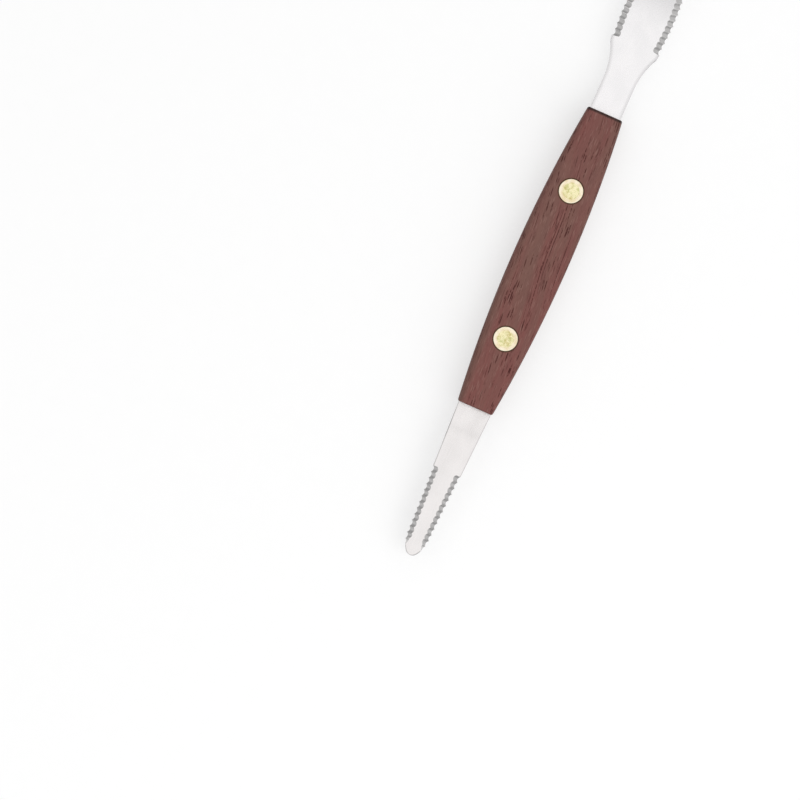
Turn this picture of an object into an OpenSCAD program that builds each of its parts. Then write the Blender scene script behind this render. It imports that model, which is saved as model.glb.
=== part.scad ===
// Double-ended grapefruit knife. A bent, serrated blade frees the fruit from its
// rind; two parallel serrated blades straddle a membrane and cut both its sides.
// The three tangs lie as a stack between two wooden scales, held by two rivets.
// X runs along the knife towards the bent blade, Y across it, and Z up from the
// face it lies on. The origin is under the middle of the handle. Millimetres.

/* [Handle] */
// Length of the wooden scales
handle_length = 102; // [90:1:115]
// Width of the scales at their middle
handle_mid_width = 17.8; // [15:0.1:20]
// Width of the scales at both ends
handle_end_width = 11.9; // [10.5:0.1:13.5]
// Thickness of each scale
scale_thickness = 5; // [4:0.1:6.5]
// Rounding of the scales' long outer edges
edge_round = 2.4; // [0.8:0.1:3.4]
// Rounding of the outer edge across each end
end_round = 0.9; // [0.3:0.1:2]

/* [Steel] */
// Sheet thickness of the bent blade, whose tang keeps the twin tangs apart
centre_gauge = 1.2; // [0.9:0.1:1.6]
// Sheet thickness of each twin blade
twin_gauge = 0.9; // [0.7:0.1:1.2]
// How far the tangs' edges lie inside the wooden outline at the middle of the handle
tang_inset = 0.15; // [0:0.05:0.5]

/* [Bent blade] */
// Length from the handle to the tip, along the sheet
bent_length = 66; // [58:1:78]
// Width of the shank, from the handle to the flare
bent_shank_width = 10.5; // [9:0.1:11.6]
// Width at the heel, where the serration starts
heel_width = 16; // [14:0.1:18]
// Distance from the handle to the flare
flare_start = 10.7; // [7:0.1:14]
// Hollow radius of the flare from the shank to the heel
flare_radius = 25; // [12:0.5:40]
// Distance from the heel to the widest place
belly = 12; // [6:0.5:18]
// Radius of the rounded tip, seen from above
bent_tip_radius = 5; // [3:0.1:7]
// Distance from the handle to where the bend starts
bend_start = 15; // [8:0.5:24]
// Radius of the bend
bend_radius = 80; // [60:1:140]

/* [Twin blades] */
// Length from the handle to the tips
twin_length = 51; // [44:1:60]
// Width where the blades leave the handle
twin_shank_width = 11.2; // [10:0.1:11.8]
// Angle at which each edge closes in towards the tip
twin_taper = 2.3; // [1:0.1:3]
// Clear gap between the two blades
twin_gap = 4.8; // [4.2:0.1:6]
// Distance from the handle to the first tooth
twin_plain = 22; // [19:0.5:26]
// Distance from the handle to the offset bend
offset_start = 1; // [0.5:0.1:2]
// Radius of both halves of the offset bend
offset_radius = 30; // [15:1:40]
// Radius of the arcs that close in towards the tip
point_radius = 11; // [8:0.5:16]
// Radius of the tip itself
twin_tip_radius = 2.2; // [1:0.1:3]
// Length of plain edge between the last tooth and the tip's own arc
tip_plain = 1.8; // [0.6:0.1:4]

/* [Serration] */
// Distance from tooth to tooth
tooth_pitch = 2; // [1.6:0.1:3]
// Radius of the grinding wheel that cuts each gullet
wheel_radius = 2; // [1.8:0.1:3]
// Angle between the ground faces and the sheet
grind_angle = 33; // [26:1:45]
// How far the grinding sets the teeth's points inside the blade's outline
tooth_set = 0.06; // [0.03:0.01:0.15]

/* [Rivets] */
// Distance of one rivet from the handle's end at the bent blade
bent_end_margin = 26.9; // [18:0.1:32]
// Distance of the other rivet from the handle's end at the twin blades
twin_end_margin = 23.9; // [18:0.1:32]
// Diameter of the rivet heads
rivet_head_d = 7.9; // [6.4:0.1:8.6]
// Height of the rivet heads
rivet_head_h = 1.6; // [1:0.1:2.2]
// Depth of the shallow dish in each head
rivet_dish = 0.12; // [0.05:0.01:0.25]
// Outer diameter of the tubular half
rivet_barrel_d = 4.8; // [4.2:0.1:5.4]
// Diameter of the solid half's pin, and of the bore it is driven into
rivet_pin_d = 3.2; // [2.4:0.1:3.6]
// Clearance round the heads and barrels
rivet_clearance = 0.15; // [0.05:0.05:0.3]

/* [Hidden] */

wood_colour = [0.44, 0.29, 0.27];
steel_colour = [0.80, 0.80, 0.81];
brass_colour = [0.88, 0.80, 0.52];

// Fineness of small curves, and of arcs with a large radius
$fn = 96;
long_arc_fn = 720;
// What a cutter reaches past the faces it cuts
overrun = 1;
// Straight steps in each arc of a sheet's outline
arc_steps = 12;

// The handle's plan: each long side is one arc of a large circle
half_length = handle_length / 2;
side_bow = (handle_mid_width - handle_end_width) / 2;
side_radius = (half_length ^ 2 + side_bow ^ 2) / (2 * side_bow);
side_centre_y = handle_mid_width / 2 - side_radius;

// The stack, from the face that the knife lies on
back_twin_z = scale_thickness;
centre_z = back_twin_z + twin_gauge;
front_twin_z = centre_z + centre_gauge;
front_scale_z = front_twin_z + twin_gauge;
handle_thickness = front_scale_z + scale_thickness;
middle_z = handle_thickness / 2;

// The rivets
rivet_xs = [half_length - bent_end_margin, twin_end_margin - half_length];
rivet_rim = 0.25;
rivet_end_gap = 0.4;
rivet_dish_d = 0.74 * rivet_head_d;
rivet_dish_radius = (rivet_dish_d ^ 2 / 4 + rivet_dish ^ 2) / (2 * rivet_dish);

// The bent blade's sheet: flat to bend_x, then round a centre above it
bend_x = half_length + bend_start;
bend_centre_z = middle_z + bend_radius;
outer_radius = bend_radius + centre_gauge / 2;
bend_angle = (bent_length - bend_start) / bend_radius * 180 / PI;
bent_tip_x = bend_x + bend_radius * sin(bend_angle);

// The flare: a hollow arc from the end of the shank out to the heel
flare_x = half_length + flare_start;
flare_y = bent_shank_width / 2;
heel_y = heel_width / 2;
heel_x = flare_x + sqrt(flare_radius ^ 2 - (flare_radius - (heel_y - flare_y)) ^ 2);

// The serrated edges: each is one arc through its heel that runs into the tip's circle
belly_x = heel_x + belly;
bent_tip_centre_x = bent_tip_x - bent_tip_radius;
tip_share = bent_tip_radius / heel_y;
heel_reach = (heel_x - belly_x) ^ 2;
tip_reach = (bent_tip_centre_x - belly_x) ^ 2;
edge_shift = (heel_reach - tip_reach + heel_y ^ 2 + bent_tip_radius ^ 2) / (2 * heel_y);
edge_rise = heel_y - edge_shift;
edge_radius = (edge_rise * tip_share
               + sqrt((edge_rise * tip_share) ^ 2 + (1 - tip_share ^ 2) * (heel_reach + edge_rise ^ 2)))
              / (1 - tip_share ^ 2);
edge_centre_y = edge_shift - tip_share * edge_radius;
// Where an edge's arc runs into the tip's circle
shoulder_x = belly_x + (bent_tip_centre_x - belly_x) * edge_radius / (edge_radius - bent_tip_radius);
tip_angle = acos((shoulder_x - bent_tip_centre_x) / bent_tip_radius);

// The twin blades: an S of two arcs lifts the blade
twin_offset = (twin_gap - centre_gauge) / 2;
offset_angle = acos(1 - twin_offset / (2 * offset_radius));
offset_end = offset_start + 2 * offset_radius * sin(offset_angle);

// Each long edge of a twin blade is straight, and an arc leads it into the tip's circle
twin_along = [cos(twin_taper), -sin(twin_taper)];
twin_out = [sin(twin_taper), cos(twin_taper)];
twin_heel = [0, twin_shank_width / 2];
twin_tip_centre = [twin_length - twin_tip_radius, 0];
point_depth = twin_heel * twin_out - point_radius;
point_reach = twin_tip_centre * twin_along
              - sqrt((point_radius - twin_tip_radius) ^ 2 - (point_depth - twin_tip_centre * twin_out) ^ 2);
point_centre = point_depth * twin_out + point_reach * twin_along;
twin_edge_run = point_reach - twin_heel * twin_along;
point_from = 90 - twin_taper;
point_to = atan2(-point_centre[1], twin_tip_centre[0] - point_centre[0]);

// The bent blade's teeth: spread evenly from one land past the heel to the middle of the tip
edge_from = 90 + asin((belly_x - heel_x) / edge_radius);
edge_run = edge_radius * (edge_from - tip_angle) * PI / 180;
tip_run = bent_tip_radius * tip_angle * PI / 180;
bent_toothed = edge_run + tip_run - tooth_pitch;
bent_teeth = round(bent_toothed / tooth_pitch);
bent_pitch = bent_toothed / bent_teeth;

// The twin blades' teeth: spread evenly from the plain shank to the plain edge at the tip
point_run = point_radius * (point_from - point_to) * PI / 180;
twin_toothed = twin_edge_run + point_run - tip_plain - twin_plain;
twin_teeth = round(twin_toothed / tooth_pitch);
twin_pitch = twin_toothed / twin_teeth;

// Turn of the bent sheet at a distance along its lower face from the start of the bend
function turn(along) = along > 0 ? along / outer_radius * 180 / PI : 0;

// Distance along X of that place from the start of the bend
function reach(along) = along > 0 ? outer_radius * sin(turn(along)) : along;

// Distance along the lower face of a place along X
function unreach(x) =
    x > bend_x ? asin((x - bend_x) / outer_radius) * PI / 180 * outer_radius : x - bend_x;

// Place and facing, in plan, of the bent blade's edge at a distance along it from the heel
function bent_edge(run) =
    let (on_tip = run > edge_run,
         facing = on_tip ? tip_angle - (run - edge_run) / bent_tip_radius * 180 / PI
                         : edge_from - run / edge_radius * 180 / PI,
         radius = on_tip ? bent_tip_radius : edge_radius)
    [(on_tip ? bent_tip_centre_x : belly_x) + radius * cos(facing),
     (on_tip ? 0 : edge_centre_y) + radius * sin(facing), facing];

// Place and facing of a twin blade's edge at a distance along it from the handle
function twin_edge(run) =
    let (facing = point_from - max(0, run - twin_edge_run) / point_radius * 180 / PI,
         place = run > twin_edge_run ? point_centre + point_radius * [cos(facing), sin(facing)]
                                     : twin_heel + run * twin_along)
    [place[0], place[1], facing];

// Depth of a gullet that leaves the teeth on both sides of it sharp
function gullet_depth(pitch) =
    (wheel_radius - sqrt(wheel_radius ^ 2 - (pitch / 2) ^ 2)) / sin(grind_angle) + tooth_set;

// Points along an arc. One that carries on an outline leaves out its first point.
function arc(centre, radius, from, to, first = 1) =
    [for (i = [first : arc_steps])
        let (angle = from + (to - from) * i / arc_steps)
        centre + radius * [cos(angle), sin(angle)]];

// A closed plan from its half above the X axis, which ends on that axis
function both_sides(half) =
    concat(half, [for (i = [len(half) - 2 : -1 : 0]) [half[i][0], -half[i][1]]]);

// One side of a tang, from end to end of the handle: one arc that closes in to the shank
function tang_side(shank_width) =
    let (middle = handle_mid_width / 2 - tang_inset,
         bow = middle - shank_width / 2,
         radius = (half_length ^ 2 + bow ^ 2) / (2 * bow),
         angle = asin(half_length / radius))
    arc([0, middle - radius], radius, 90 + angle, 90 - angle, 0);

// One side of the bent blade: tang, shank, flare, serrated edge and tip
bent_half = concat(
    tang_side(bent_shank_width),
    [[flare_x, flare_y]],
    arc([flare_x, flare_y + flare_radius], flare_radius,
        -90, -acos((heel_x - flare_x) / flare_radius)),
    arc([belly_x, edge_centre_y], edge_radius,
        90 + asin((belly_x - heel_x) / edge_radius), 90 - asin((shoulder_x - belly_x) / edge_radius)),
    arc([bent_tip_centre_x, 0], bent_tip_radius, tip_angle, 0));

// One side of a twin blade that points along X from the handle's end: tang, straight edge,
// and the arcs that close the point
twin_half = concat(
    [for (p = tang_side(twin_shank_width)) p - [half_length, 0]],
    arc(point_centre, point_radius, point_from, point_to, 0),
    arc(twin_tip_centre, twin_tip_radius, point_to, 0));

// Middle line of a twin sheet, seen from the side, as places and directions
twin_rise = concat(
    [[[-handle_length, 0], 0]],
    [for (i = [0 : arc_steps])
        let (angle = offset_angle * i / arc_steps)
        [[offset_start + offset_radius * sin(angle), offset_radius * (1 - cos(angle))], angle]],
    [for (i = [arc_steps - 1 : -1 : 0])
        let (angle = offset_angle * i / arc_steps)
        [[offset_end - offset_radius * sin(angle), twin_offset - offset_radius * (1 - cos(angle))], angle]],
    [[[twin_length + overrun, twin_offset], 0]]);

// One face of that sheet, half a gauge to one side of the middle line
function twin_face(side) =
    [for (p = twin_rise) p[0] + side * twin_gauge / 2 * [-sin(p[1]), cos(p[1])]];

// Stands a side view, drawn in X and Z, up across a width
module across(width) {
    rotate([90, 0, 0]) linear_extrude(width, center = true) children();
}

// A square corner with its far upper corner rounded
module rounded_corner(width, height, radius) {
    square([width - radius, height]);
    square([width, height - radius]);
    translate([width - radius, height - radius]) circle(radius);
}

// Sweeps one long side of a scale, with its rounded edge, round the side's arc
module scale_side() {
    inner = side_radius - handle_mid_width - overrun;
    sweep = 2 * asin((half_length + overrun) / inner);
    translate([0, side_centre_y, 0])
        rotate_extrude(angle = sweep, start = 90 - sweep / 2, $fn = long_arc_fn)
            translate([inner, 0])
                rounded_corner(side_radius - inner, scale_thickness, edge_round);
}

// One scale with its inner face at Z 0, bored and counterbored for the rivets
module scale_board() {
    difference() {
        intersection() {
            scale_side();
            mirror([0, 1, 0]) scale_side();
            across(handle_mid_width + 2 * overrun) {
                rounded_corner(half_length, scale_thickness, end_round);
                mirror([1, 0]) rounded_corner(half_length, scale_thickness, end_round);
            }
        }
        for (x = rivet_xs) translate([x, 0, 0]) {
            translate([0, 0, -overrun])
                cylinder(d = rivet_barrel_d + 2 * rivet_clearance, h = scale_thickness + 2 * overrun);
            translate([0, 0, scale_thickness - rivet_head_h])
                cylinder(d = rivet_head_d + 2 * rivet_clearance, h = rivet_head_h + overrun);
        }
    }
}

module front_scale() {
    color(wood_colour) translate([0, 0, front_scale_z]) scale_board();
}

module back_scale() {
    color(wood_colour) translate([0, 0, scale_thickness]) mirror([0, 0, 1]) scale_board();
}

// Holes through the whole stack of tangs
module rivet_holes() {
    for (x = rivet_xs) translate([x, 0, back_twin_z - overrun])
        cylinder(d = rivet_barrel_d + 2 * rivet_clearance,
                 h = front_scale_z - back_twin_z + 2 * overrun);
}

// The cut of the wheel at one gullet. X runs along the edge and Y out of the blade;
// the ground face starts at the sheet's lower face, at Z 0, and climbs inwards.
module gullet(gauge, pitch) {
    length = 2 * (gauge / sin(grind_angle) + wheel_radius);
    translate([0, wheel_radius * sin(grind_angle) - gullet_depth(pitch), wheel_radius * cos(grind_angle)])
        rotate([90 - grind_angle, 0, 0])
            cylinder(r = wheel_radius, h = length, center = true);
}

// Side view of the bent sheet, flat through the handle and then bent upwards
module bent_side() {
    run = half_length + bend_x;
    translate([bend_x, middle_z]) {
        translate([-run, -centre_gauge / 2]) square([run, centre_gauge]);
        translate([0, bend_radius]) intersection() {
            difference() {
                circle(bend_radius + centre_gauge / 2, $fn = long_arc_fn);
                circle(bend_radius - centre_gauge / 2, $fn = long_arc_fn);
            }
            translate([0, -2 * bend_radius]) square(2 * bend_radius);
        }
    }
}

// Cuts a gullet into the bent sheet at a distance along its edge from the heel
module gullet_on_bend(run) {
    place = bent_edge(run);
    along = unreach(place[0]);
    lean = turn(along);
    translate([bend_x + min(along, 0), 0, bend_centre_z])
        rotate([0, -lean, 0])
            translate([0, place[1], -outer_radius])
                rotate([0, 0, atan2(sin(place[2]) / cos(lean), cos(place[2])) - 90])
                    gullet(centre_gauge, bent_pitch / cos(bend_angle));
}

module bent_blade() {
    color(steel_colour) difference() {
        intersection() {
            across(handle_mid_width + heel_width) bent_side();
            linear_extrude(bend_centre_z) polygon(both_sides(bent_half));
        }
        rivet_holes();
        for (side = [0, 1], i = [0 : bent_teeth - 1])
            mirror([0, side, 0]) gullet_on_bend(tooth_pitch + (i + 0.5) * bent_pitch);
    }
}

// One twin blade, pointing along X, with its tang's middle at Z 0 and its bevels above
module twin_sheet() {
    difference() {
        intersection() {
            across(handle_mid_width + overrun)
                polygon(concat(twin_face(1), [for (i = [len(twin_rise) - 1 : -1 : 0]) twin_face(-1)[i]]));
            translate([0, 0, -twin_gauge]) linear_extrude(twin_offset + 2 * twin_gauge)
                polygon(both_sides(twin_half));
        }
        for (side = [0, 1], i = [0 : twin_teeth - 1]) {
            place = twin_edge(twin_plain + (i + 0.5) * twin_pitch);
            mirror([0, side, 0]) translate([place[0], place[1], twin_offset - twin_gauge / 2])
                rotate([0, 0, place[2] - 90])
                    gullet(twin_gauge, twin_pitch);
        }
    }
}

module front_twin_blade() {
    color(steel_colour) difference() {
        translate([-half_length, 0, front_twin_z + twin_gauge / 2])
            mirror([1, 0, 0]) twin_sheet();
        rivet_holes();
    }
}

module back_twin_blade() {
    color(steel_colour) difference() {
        translate([-half_length, 0, back_twin_z + twin_gauge / 2])
            mirror([0, 0, 1]) mirror([1, 0, 0]) twin_sheet();
        rivet_holes();
    }
}

// A rivet head whose seat is at Z 0, with a turned rim and a shallow dish on top
module rivet_head() {
    difference() {
        union() {
            cylinder(d = rivet_head_d, h = rivet_head_h - rivet_rim);
            translate([0, 0, rivet_head_h - rivet_rim])
                cylinder(d1 = rivet_head_d, d2 = rivet_head_d - 2 * rivet_rim, h = rivet_rim);
        }
        translate([0, 0, rivet_head_h - rivet_dish + rivet_dish_radius])
            sphere(rivet_dish_radius, $fn = long_arc_fn);
    }
}

// The solid half of a rivet, driven in from the front
module rivet_stud(x) {
    pin = handle_thickness - 2 * rivet_head_h - rivet_end_gap;
    color(brass_colour) translate([x, 0, handle_thickness - rivet_head_h]) {
        rivet_head();
        translate([0, 0, -pin]) cylinder(d = rivet_pin_d, h = pin);
    }
}

// The tubular half of a rivet, set in from the back
module rivet_sleeve(x) {
    barrel = handle_thickness - 2 * rivet_head_h - rivet_end_gap;
    color(brass_colour) translate([x, 0, rivet_head_h]) {
        mirror([0, 0, 1]) rivet_head();
        difference() {
            cylinder(d = rivet_barrel_d, h = barrel);
            cylinder(d = rivet_pin_d, h = barrel + overrun);
        }
    }
}

front_scale();
back_scale();
bent_blade();
front_twin_blade();
back_twin_blade();
rivet_stud(rivet_xs[0]);  // rivet_stud_bent_end
rivet_stud(rivet_xs[1]);  // rivet_stud_twin_end
rivet_sleeve(rivet_xs[0]);  // rivet_sleeve_bent_end
rivet_sleeve(rivet_xs[1]);  // rivet_sleeve_twin_end
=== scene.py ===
"""Double-ended grapefruit knife: wooden scales, three serrated steel blades, brass rivets.

X runs along the knife towards the bent blade, Y across it, and Z up from the face it
lies on. Sizes are in millimetres until they reach Blender, which works in metres.
"""

from math import acos, asin, atan2, cos, hypot, pi, radians, sin, sqrt, tan

import bmesh
import bpy
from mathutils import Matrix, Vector


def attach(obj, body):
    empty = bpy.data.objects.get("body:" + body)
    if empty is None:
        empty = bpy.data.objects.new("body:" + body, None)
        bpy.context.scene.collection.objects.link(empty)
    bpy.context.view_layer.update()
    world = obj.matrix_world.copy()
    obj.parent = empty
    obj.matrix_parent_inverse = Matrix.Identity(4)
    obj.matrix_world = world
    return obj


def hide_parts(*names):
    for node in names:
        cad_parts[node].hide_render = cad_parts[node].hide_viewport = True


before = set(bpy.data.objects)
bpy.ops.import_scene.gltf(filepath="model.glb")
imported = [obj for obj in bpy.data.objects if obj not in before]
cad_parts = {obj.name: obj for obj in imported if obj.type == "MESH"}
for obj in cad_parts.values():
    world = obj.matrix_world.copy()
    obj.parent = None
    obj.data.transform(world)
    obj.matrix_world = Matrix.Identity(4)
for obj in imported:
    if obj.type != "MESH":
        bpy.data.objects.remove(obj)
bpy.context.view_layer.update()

MM = 0.001

# Sizes, in millimetres

HANDLE_LENGTH, HANDLE_MID_WIDTH, HANDLE_END_WIDTH = 102, 17.8, 11.9
SCALE_THICKNESS, EDGE_ROUND, END_ROUND, CORNER_ROUND = 5, 2.4, 0.9, 0.6
CENTRE_GAUGE, TWIN_GAUGE, TANG_INSET = 1.2, 0.9, 0.15
BENT_LENGTH, BENT_SHANK_WIDTH, HEEL_WIDTH = 66, 10.5, 16
FLARE_START, FLARE_RADIUS, BELLY = 10.7, 25, 12
BENT_TIP_RADIUS, BEND_START, BEND_RADIUS = 5, 15, 80
TWIN_LENGTH, TWIN_SHANK_WIDTH, TWIN_TAPER, TWIN_GAP, TWIN_PLAIN = 51, 11.2, radians(2.3), 4.8, 22
OFFSET_START, OFFSET_RADIUS, POINT_RADIUS, TWIN_TIP_RADIUS, TIP_PLAIN = 1, 30, 11, 2.2, 1.8
TOOTH_PITCH, WHEEL_RADIUS, GRIND_ANGLE, TOOTH_SET = 2, 2, radians(33), 0.06
BENT_END_MARGIN, TWIN_END_MARGIN = 26.9, 23.9
HEAD_D, HEAD_H, DISH, BARREL_D, PIN_D, CLEARANCE = 7.9, 1.6, 0.12, 4.8, 3.2, 0.15
DISH_RADIUS = 0.37 * HEAD_D
RIM, END_GAP, HEAD_FIT = 0.25, 0.4, 0.04
MOUTH_EASE, MOUTH_EASE_MIDDLE, PIN_CHAMFER, SLEEVE_CHAMFER = 0.12, 0.035, 0.3, 0.15

# How the plain edges are eased, as widths and drops from the square side up to the flat
BENT_LIP = ((0.10, 0.062), (0.35, 0.120), (0.45, 0.125), (0.55, 0.105))
TWIN_LIP = ((0.10, 0.080), (0.13, 0.070), (0.17, 0.045))
# Where the easing starts outside the handle, and stops short of the teeth
LIP_START, LIP_STOP = 0.15, 0.05
# The square corners of a sheet are rounded too, up to just short of its heel or its teeth
EDGE_EASE, HEEL_MARGIN, TEETH_MARGIN = 0.12, 0.05, 0.1

# How near two places are to count as one: in picking, on a sheet's outline, at its levels, along
# the line it is mirrored on, and where points are doubled
NEAR, SAME_POINT, SAME_LEVEL, SEAM, DOUBLED = 0.01, 0.002, 0.001, 0.001, 0.0005
# How far cutters and searches reach past a piece
BEYOND = 1
# How far up the faces of a sheet look, as cosines: its sides up to the first, ground faces up to the second
SIDE_UP, GROUND_UP = 0.3, 0.875
# Edges sharper than these angles, in degrees, stay sharp when a piece is shaded
SMOOTH = {"wood": 35, "steel": 18, "brass": 40}

HALF = HANDLE_LENGTH / 2
BACK_TWIN_Z = SCALE_THICKNESS
CENTRE_Z = BACK_TWIN_Z + TWIN_GAUGE
FRONT_TWIN_Z = CENTRE_Z + CENTRE_GAUGE
FRONT_SCALE_Z = FRONT_TWIN_Z + TWIN_GAUGE
THICKNESS = FRONT_SCALE_Z + SCALE_THICKNESS
MIDDLE_Z = THICKNESS / 2
RIVETS = {"bent_end": HALF - BENT_END_MARGIN, "twin_end": TWIN_END_MARGIN - HALF}


def bowed(x, middle, end):
    """Half a width at a place along the handle: each long side is one large arc."""
    bow = middle - end
    radius = (HALF ** 2 + bow ** 2) / (2 * bow)
    return middle - radius + sqrt(radius ** 2 - x ** 2)


# Working by hand

def deselect():
    """Goes back to object mode with nothing selected."""
    if bpy.context.object and bpy.context.object.mode != "OBJECT":
        bpy.ops.object.mode_set(mode="OBJECT")
    bpy.ops.object.select_all(action="DESELECT")


def work_on(piece, mode="OBJECT"):
    """Selects one piece alone, and opens it in a mode."""
    deselect()
    piece.select_set(True)
    bpy.context.view_layer.objects.active = piece
    bpy.ops.object.mode_set(mode=mode)


def name_piece(name):
    """Names the primitive that was just added, and puts its place and size into its mesh."""
    piece = bpy.context.object
    piece.name = piece.data.name = name
    bpy.ops.object.transform_apply(location=True, rotation=True, scale=True)
    return piece


def pick(piece, kind, wanted):
    """In edit mode, selects just the vertices, edges or faces that a test wants."""
    bpy.ops.mesh.select_mode(type=kind)
    bpy.ops.mesh.select_all(action="DESELECT")
    mesh = bmesh.from_edit_mesh(piece.data)
    for element in {"VERT": mesh.verts, "EDGE": mesh.edges, "FACE": mesh.faces}[kind]:
        if wanted(element):
            element.select_set(True)
    mesh.select_flush_mode()
    bmesh.update_edit_mesh(piece.data)


def modify(piece, kind, **settings):
    """Adds a modifier to a piece and applies it."""
    work_on(piece)
    bpy.ops.object.modifier_add(type=kind)
    modifier = piece.modifiers[-1]
    for name, value in settings.items():
        setattr(modifier, name, value)
    bpy.ops.object.modifier_apply(modifier=modifier.name)


def remove(piece):
    """Deletes a piece that was only a tool."""
    work_on(piece)
    bpy.ops.object.delete()


def cut_away(piece, cutter):
    """Takes a cutter's shape out of a piece, and throws the cutter away."""
    modify(piece, "BOOLEAN", operation="DIFFERENCE", solver="EXACT", object=cutter)
    remove(cutter)


def face_outwards(piece):
    """Closes the seams of a piece and turns its faces outwards."""
    work_on(piece, "EDIT")
    bpy.ops.mesh.select_all(action="SELECT")
    bpy.ops.mesh.remove_doubles(threshold=DOUBLED * MM)
    bpy.ops.mesh.normals_make_consistent(inside=False)
    bpy.ops.object.mode_set(mode="OBJECT")


def smooth(piece, angle):
    """Shades a piece smooth, apart from edges sharper than an angle, with flats kept flat."""
    work_on(piece)
    bpy.ops.object.shade_smooth_by_angle(angle=radians(angle))
    modify(piece, "WEIGHTED_NORMAL", mode="FACE_AREA_WITH_ANGLE", keep_sharp=True, weight=60)


def twin_of(piece, name, along=0):
    """A second piece from the first, shifted along the knife or else mirrored through the stack."""
    work_on(piece)
    bpy.ops.object.duplicate(linked=False)
    copy = bpy.context.object
    copy.name = copy.data.name = name
    bpy.ops.object.mode_set(mode="EDIT")
    bpy.ops.mesh.select_all(action="SELECT")
    if along:
        bpy.ops.transform.translate(value=(along * MM, 0, 0))
    else:
        bpy.ops.transform.resize(value=(1, 1, -1), center_override=(0, 0, MIDDLE_Z * MM))
        bpy.ops.mesh.normals_make_consistent(inside=False)
    bpy.ops.object.mode_set(mode="OBJECT")
    return copy


def trace(name, points):
    """Draws a line through points, each vertex extruded from the one before it."""
    points = [Vector(point) * MM for point in points]
    deselect()
    bpy.ops.mesh.primitive_plane_add(size=MM, location=points[0])
    piece = name_piece(name)
    bpy.ops.object.mode_set(mode="EDIT")
    bpy.ops.mesh.select_mode(type="VERT")
    bpy.ops.mesh.select_all(action="SELECT")
    bpy.ops.mesh.merge(type="CENTER")
    for here, there in zip(points, points[1:]):
        bpy.ops.mesh.extrude_vertices_move(TRANSFORM_OT_translate={"value": there - here})
    return piece


def turn_profile(name, profile, x, steps=96):
    """Turns a profile of radii and heights round the upright axis at a place along the knife."""
    piece = trace(name, [(x + radius, 0, z) for radius, z in profile])
    bpy.ops.mesh.select_all(action="SELECT")
    bpy.ops.mesh.spin(steps=steps, angle=2 * pi, center=(x * MM, 0, 0), axis=(0, 0, 1))
    face_outwards(piece)
    return piece


# Wooden scales

def shape_front_scale():
    """A board drawn in to the handle's outline, its outer edges rounded, bored for the rivets."""
    deselect()
    bpy.ops.mesh.primitive_cube_add(
        size=1, location=(0, 0, (FRONT_SCALE_Z + SCALE_THICKNESS / 2) * MM),
        scale=(HANDLE_LENGTH * MM, HANDLE_MID_WIDTH * MM, SCALE_THICKNESS * MM))
    board = name_piece("front_handle_scale")

    bpy.ops.object.mode_set(mode="EDIT")
    pick(board, "EDGE", lambda edge: abs(edge.verts[0].co.x - edge.verts[1].co.x) > MM)
    stations = 56
    bpy.ops.mesh.subdivide(number_cuts=stations - 1)
    for i in range(stations // 2):
        x = HALF - i * HANDLE_LENGTH / stations
        pick(board, "VERT", lambda vert: abs(abs(vert.co.x) - x * MM) < NEAR * MM)
        narrower = bowed(x, HANDLE_MID_WIDTH / 2, HANDLE_END_WIDTH / 2) * 2 / HANDLE_MID_WIDTH
        bpy.ops.transform.resize(value=(1, narrower, 1), center_override=(0, 0, 0))

    def at_end(vert):
        return abs(vert.co.x) > (HALF - NEAR) * MM

    def on_top(vert):
        return vert.co.z > (THICKNESS - NEAR) * MM

    def long_edge(edge):
        a, b = edge.verts
        return on_top(a) and on_top(b) and a.co.y * b.co.y > 0

    def end_edge(edge):
        a, b = edge.verts
        return on_top(a) and on_top(b) and at_end(a) and at_end(b)

    def corner_edge(edge):
        a, b = edge.verts
        return at_end(a) and at_end(b) and on_top(a) != on_top(b)

    for wanted, width in ((long_edge, EDGE_ROUND), (end_edge, END_ROUND), (corner_edge, CORNER_ROUND)):
        pick(board, "EDGE", wanted)
        bpy.ops.transform.edge_bevelweight(value=width / EDGE_ROUND)
    modify(board, "BEVEL", width=EDGE_ROUND * MM, segments=10, limit_method="WEIGHT",
           use_clamp_overlap=False)

    mouth, hole, seat = HEAD_D / 2 + HEAD_FIT, BARREL_D / 2 + CLEARANCE, THICKNESS - HEAD_H
    below, above = FRONT_SCALE_Z - BEYOND, THICKNESS + BEYOND
    bore = [(0, below), (hole, below), (hole, seat), (mouth, seat), (mouth, THICKNESS - MOUTH_EASE),
            (mouth + MOUTH_EASE_MIDDLE, THICKNESS - MOUTH_EASE_MIDDLE),
            (mouth + MOUTH_EASE, THICKNESS), (mouth + MOUTH_EASE, above), (0, above)]
    for x in RIVETS.values():
        cut_away(board, turn_profile("rivet_bore", bore, x))
    return board


# Blades, first as flat sheets

def arc(centre, radius, start, end, steps):
    """Points along an arc, without its first one."""
    return [(centre[0] + radius * cos(start + (end - start) * i / steps),
             centre[1] + radius * sin(start + (end - start) * i / steps)) for i in range(1, steps + 1)]


def tang_side(shank_width):
    """One side of a tang, from the handle's far end to the end that its blade leaves."""
    stations = 30
    places = [HALF * (2 * i / stations - 1) for i in range(stations + 1)]
    middle = HANDLE_MID_WIDTH / 2 - TANG_INSET
    return [(-HALF, 0.0)] + [(x, bowed(x, middle, shank_width / 2)) for x in places]


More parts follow.
